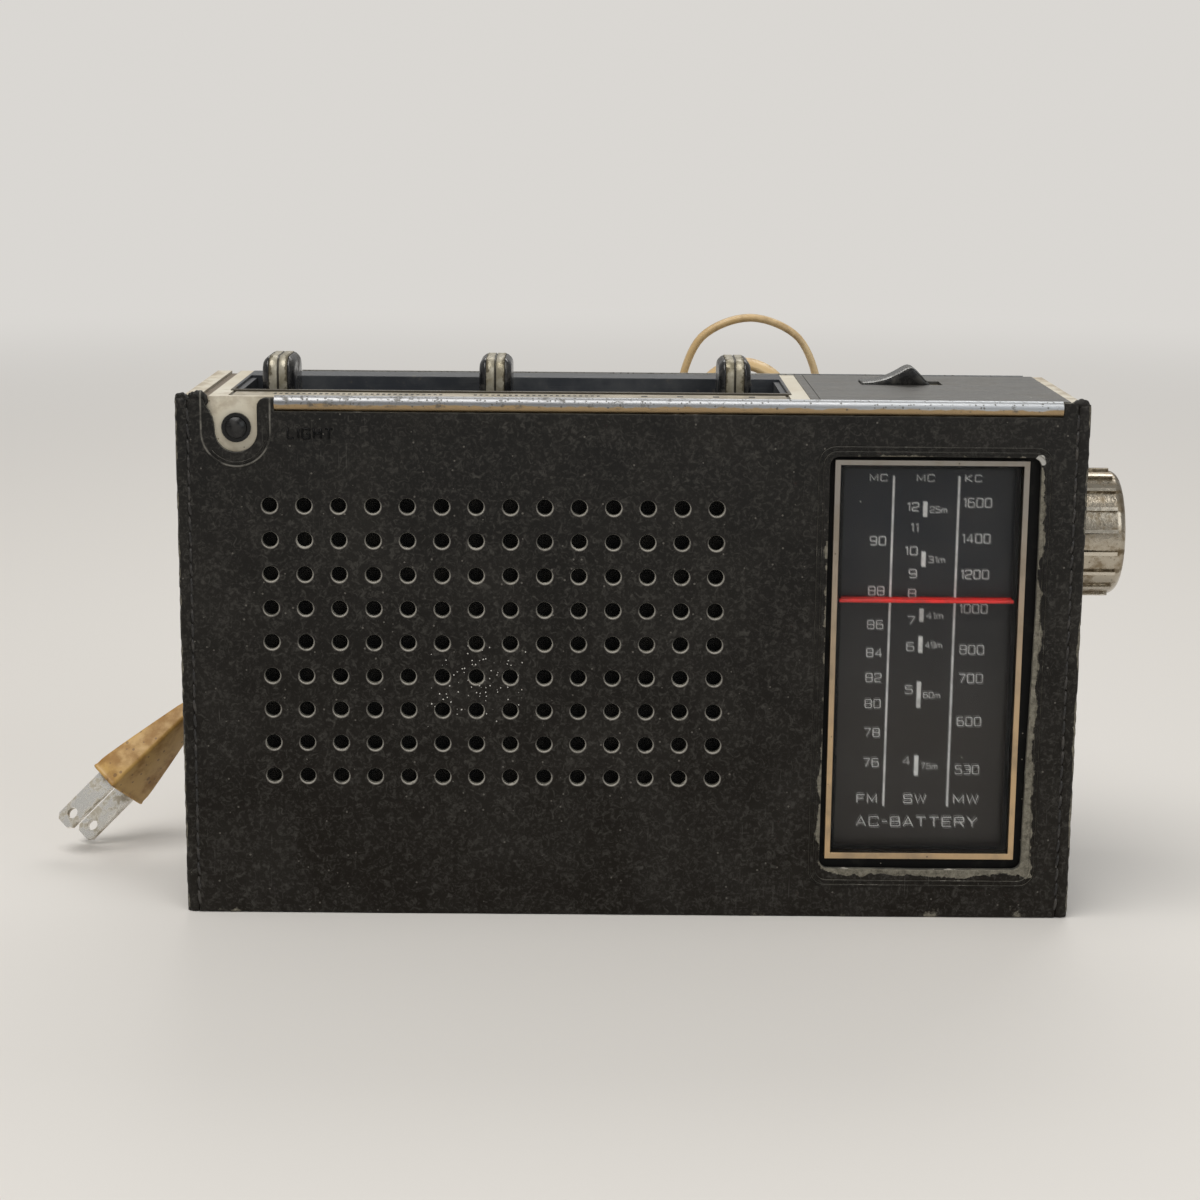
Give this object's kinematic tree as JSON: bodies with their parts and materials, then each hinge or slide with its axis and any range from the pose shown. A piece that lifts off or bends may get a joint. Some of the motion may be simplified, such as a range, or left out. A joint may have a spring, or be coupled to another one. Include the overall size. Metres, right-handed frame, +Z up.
{
  "type": "tabletop radio",
  "caption": "Portable mains and battery radio in a worn perforated leather case, with slide controls on top, a side tuning knob, dial and mains lead.",
  "frame": {"origin": "centre of the leather case base, on the surface that the radio stands on", "axes": "+Z up, front face towards -Y, tuning knob towards +X"},
  "size_m": [0.2948, 0.1361, 0.1522],
  "materials": {
    "leather": "worn black topcoat",
    "bright_bar": "pitted bright plating",
    "cream_plastic": "yellowed cream moulding",
    "steel": "plain steel",
    "tray_plastic": "dark blue-grey moulding",
    "scale_print": "pale satin strip with dark printed marks",
    "switch_plate": "brushed dark anodised",
    "grille_cloth": "black woven cloth",
    "hardboard": "brown hardboard",
    "pressed_metal": "grey pressed steel",
    "paper_cone": "black paper",
    "ferrite": "dark sintered",
    "black_plastic": "black moulding",
    "dial_frame": "champagne anodised",
    "dial_window": "clear moulded window",
    "dial_print": "black print with pale numbers",
    "lamp_glass": "clear bulb",
    "pointer_red": "red line",
    "lever_metal": "worn plated band",
    "knob_metal": "turned and ribbed, grimy",
    "brass": "turned brass",
    "white_plastic": "white nylon",
    "dial_string": "braided cord",
    "circuit": "brown laminate",
    "copper_wire": "enamelled wire",
    "cell_wrap": "plain wrapped cell",
    "cord_pvc": "yellowed flexible lead",
    "plug_pvc": "tan moulded, speckled with dirt",
    "blade_metal": "nickel plated",
    "gland_rubber": "black moulded rubber"
  },
  "bodies": {
    "radio": {"case_front": "leather", "case_back": "leather", "case_bottom": "leather", "case_side_left": "leather", "case_side_right": "leather", "front_trim_bar": "bright_bar", "back_trim_bar": "bright_bar", "cabinet_front": "cream_plastic", "cabinet_back": "cream_plastic", "cabinet_screws": "steel", "top_deck": "cream_plastic", "slide_tray": "tray_plastic", "scale_strip": "scale_print", "switch_plate": "switch_plate", "grille_cloth": "grille_cloth", "baffle_board": "hardboard", "speaker_frame": "pressed_metal", "speaker_cone": "paper_cone", "speaker_magnet": "ferrite", "dial_bezel": "black_plastic", "dial_frame": "dial_frame", "dial_lens": "dial_window", "dial_plate": "dial_print", "dial_lamps": "lamp_glass", "pointer_rail": "steel", "button_ring": "black_plastic", "light_switch": "circuit", "volume_control": "pressed_metal", "tone_control": "pressed_metal", "band_switch": "pressed_metal", "power_switch": "pressed_metal", "shaft_bush": "brass", "tuning_capacitor": "dial_frame", "drive_pulleys": "white_plastic", "dial_cord": "dial_string", "circuit_board": "circuit", "ferrite_rod": "ferrite", "aerial_coil": "copper_wire", "power_transformer": "pressed_metal", "battery_box": "black_plastic", "battery_cells": "cell_wrap", "cord_gland": "gland_rubber", "cord_lead": "cord_pvc", "cord_coil": "cord_pvc", "cord_tail": "cord_pvc", "plug_body": "plug_pvc", "plug_blades": "blade_metal"},
    "volume_lever": {"volume_lever": "black_plastic", "volume_lever_band": "lever_metal"},
    "tone_lever": {"tone_lever": "black_plastic", "tone_lever_band": "lever_metal"},
    "band_lever": {"band_lever": "black_plastic", "band_lever_band": "lever_metal"},
    "power_lever": {"power_lever": "black_plastic"},
    "light_button": {"light_button": "black_plastic"},
    "tuning": {"tuning_knob": "knob_metal", "tuning_shaft": "steel"},
    "drum": {"dial_drum": "white_plastic"},
    "pointer": {"dial_pointer": "pointer_red"},
    "battery_cover": {"battery_cover": "cream_plastic"}
  },
  "joints": [
    {"name": "volume_slide", "type": "slide", "parent": "radio", "child": "volume_lever", "axis": [1, 0, 0], "range_m": [0, 0.03]},
    {"name": "tone_slide", "type": "slide", "parent": "radio", "child": "tone_lever", "axis": [1, 0, 0], "range_m": [-0.012, 0.018]},
    {"name": "band_slide", "type": "slide", "parent": "radio", "child": "band_lever", "axis": [1, 0, 0], "range_m": [-0.02, 0]},
    {"name": "power_slide", "type": "slide", "parent": "radio", "child": "power_lever", "axis": [1, 0, 0], "range_m": [0, 0.0033]},
    {"name": "light_push", "type": "slide", "parent": "radio", "child": "light_button", "axis": [0, 1, 0], "range_m": [0, 0.0015], "stiffness_N_per_m": 300},
    {"name": "tuning_turn", "type": "hinge", "parent": "radio", "child": "tuning", "pos_m": [0.12, -0.002, 0.1002], "axis": [1, 0, 0], "range_deg": [-868, 496]},
    {"name": "drum_turn", "type": "hinge", "parent": "radio", "child": "drum", "pos_m": [0.0948, 0.002, 0.072], "axis": [1, 0, 0], "range_deg": [-117, 67]},
    {"name": "pointer_slide", "type": "slide", "parent": "radio", "child": "pointer", "axis": [0, 0, 1], "range_m": [-0.0456, 0.0261]},
    {"name": "battery_cover_slide", "type": "slide", "parent": "radio", "child": "battery_cover", "axis": [1, 0, 0], "range_m": [0, 0.006]}
  ],
  "couplings": [
    {"joint": "drum_turn", "follows": "tuning_turn", "ratio": 0.13453},
    {"joint": "pointer_slide", "follows": "tuning_turn", "m_per_rad": 0.003}
  ]
}
